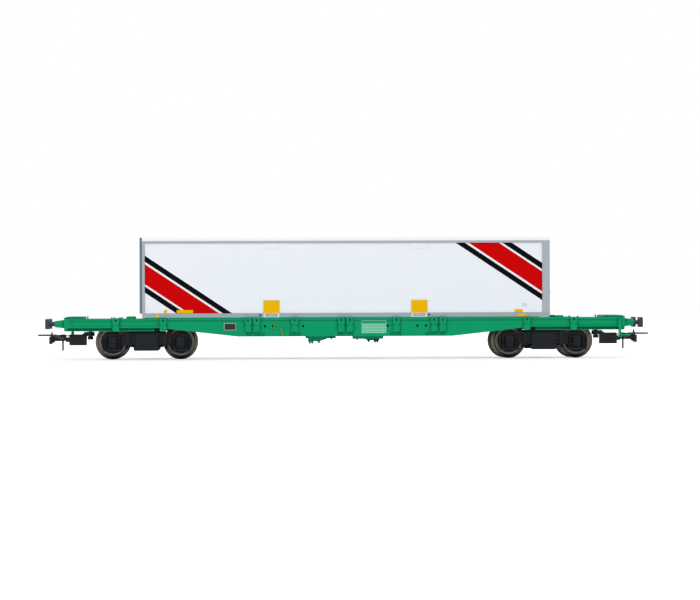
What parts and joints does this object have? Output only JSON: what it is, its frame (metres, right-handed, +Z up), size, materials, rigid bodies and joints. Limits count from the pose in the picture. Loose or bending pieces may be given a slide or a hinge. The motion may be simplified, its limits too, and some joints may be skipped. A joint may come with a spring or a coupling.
{
  "type": "model bogie flat wagon with container",
  "caption": "H0 scale model of a green bogie container flat wagon with swivelling bogies, loop couplings and a lift-off white container with diagonal red and black stripes.",
  "frame": {"origin": "below the middle of the wagon, at the wheel flanges' lowest points", "axes": "+X to the right end (the container's door end), +Y to the far side of the picture, +Z up"},
  "size_m": [0.2332, 0.03, 0.0463],
  "materials": {
    "frame_green": "satin green paint on the die-cast frame",
    "bogie_black": "matt black plastic",
    "wheel_metal": "burnished brown metal",
    "axle_steel": "plain steel",
    "buffer_grey": "dark slate plastic",
    "coupler_black": "matt black plastic",
    "loop_metal": "blackened metal strip",
    "container_white": "satin white paint, red and black stripes on the sides",
    "container_grey": "satin grey",
    "container_dark": "satin dark grey",
    "grapple_yellow": "satin yellow",
    "board_dark": "blank dark board with a pale edge",
    "handle_yellow": "olive yellow paint"
  },
  "bodies": {
    "wagon": {"air_reservoir": "bogie_black", "body_bolsters": "frame_green", "brake_cylinder": "bogie_black", "brake_lever_brackets": "frame_green", "brake_plates": "frame_green", "brake_pull_rod": "bogie_black", "buffer_heads": "buffer_grey", "buffer_housings": "frame_green", "centre_beams": "frame_green", "corner_steps": "frame_green", "coupling_carriers": "coupler_black", "cross_members": "frame_green", "deck_spigots": "frame_green", "end_decks": "frame_green", "folded_spigots_far": "frame_green", "folded_spigots_near": "frame_green", "headstocks": "frame_green", "label_boards": "board_dark", "lever_handles": "handle_yellow", "side_sill_far": "frame_green", "side_sill_near": "frame_green"},
    "bogie_left": {"bogie_bolster_left": "bogie_black", "bogie_centre_blocks_left": "bogie_black", "bogie_side_frames_left": "bogie_black", "bogie_springs_left": "bogie_black", "brake_gear_left": "bogie_black"},
    "bogie_right": {"bogie_bolster_right": "bogie_black", "bogie_centre_blocks_right": "bogie_black", "bogie_side_frames_right": "bogie_black", "bogie_springs_right": "bogie_black", "brake_gear_right": "bogie_black"},
    "wheelset_1": {"axle_1": "axle_steel", "wheels_1": "wheel_metal"},
    "wheelset_2": {"axle_2": "axle_steel", "wheels_2": "wheel_metal"},
    "wheelset_3": {"axle_3": "axle_steel", "wheels_3": "wheel_metal"},
    "wheelset_4": {"axle_4": "axle_steel", "wheels_4": "wheel_metal"},
    "coupling_left": {"coupler_head_left": "coupler_black", "coupling_shank_left": "coupler_black"},
    "coupling_right": {"coupler_head_right": "coupler_black", "coupling_shank_right": "coupler_black"},
    "loop_left": {"coupler_loop_left": "loop_metal"},
    "loop_right": {"coupler_loop_right": "loop_metal"},
    "container": {"container_corner_posts": "container_grey", "container_door_rods": "container_grey", "container_doors": "container_white", "container_floor": "container_grey", "container_front_wall": "container_dark", "container_grapple_plates": "grapple_yellow", "container_roof": "container_white", "container_side_far": "container_white", "container_side_near": "container_white", "container_top_rails": "container_grey"}
  },
  "joints": [
    {"name": "bogie_left_swivel", "type": "hinge", "parent": "wagon", "child": "bogie_left", "pos_m": [-0.0752, 0, 0.01], "axis": [0, 0, 1], "range_deg": [-12, 12]},
    {"name": "bogie_right_swivel", "type": "hinge", "parent": "wagon", "child": "bogie_right", "pos_m": [0.0752, 0, 0.01], "axis": [0, 0, 1], "range_deg": [-12, 12]},
    {"name": "wheelset_1_spin", "type": "hinge", "parent": "bogie_left", "child": "wheelset_1", "pos_m": [-0.08805, 0, 0.0066], "axis": [0, 1, 0], "continuous": true},
    {"name": "wheelset_2_spin", "type": "hinge", "parent": "bogie_left", "child": "wheelset_2", "pos_m": [-0.06235, 0, 0.0066], "axis": [0, 1, 0], "continuous": true},
    {"name": "wheelset_3_spin", "type": "hinge", "parent": "bogie_right", "child": "wheelset_3", "pos_m": [0.06235, 0, 0.0066], "axis": [0, 1, 0], "continuous": true},
    {"name": "wheelset_4_spin", "type": "hinge", "parent": "bogie_right", "child": "wheelset_4", "pos_m": [0.08805, 0, 0.0066], "axis": [0, 1, 0], "continuous": true},
    {"name": "coupling_left_swing", "type": "hinge", "parent": "wagon", "child": "coupling_left", "pos_m": [-0.0968, 0, 0.0096], "axis": [0, 0, 1], "range_deg": [-8, 8]},
    {"name": "loop_left_lift", "type": "hinge", "parent": "coupling_left", "child": "loop_left", "pos_m": [-0.1073, 0, 0.008], "axis": [0, 1, 0], "range_deg": [0, 14]},
    {"name": "coupling_right_swing", "type": "hinge", "parent": "wagon", "child": "coupling_right", "pos_m": [0.0968, 0, 0.0096], "axis": [0, 0, 1], "range_deg": [-8, 8]},
    {"name": "loop_right_lift", "type": "hinge", "parent": "coupling_right", "child": "loop_right", "pos_m": [0.1073, 0, 0.008], "axis": [0, -1, 0], "range_deg": [0, 14]},
    {"name": "container_lift", "type": "slide", "parent": "wagon", "child": "container", "axis": [0, 0, 1], "range_m": [0, 0.02]}
  ]
}
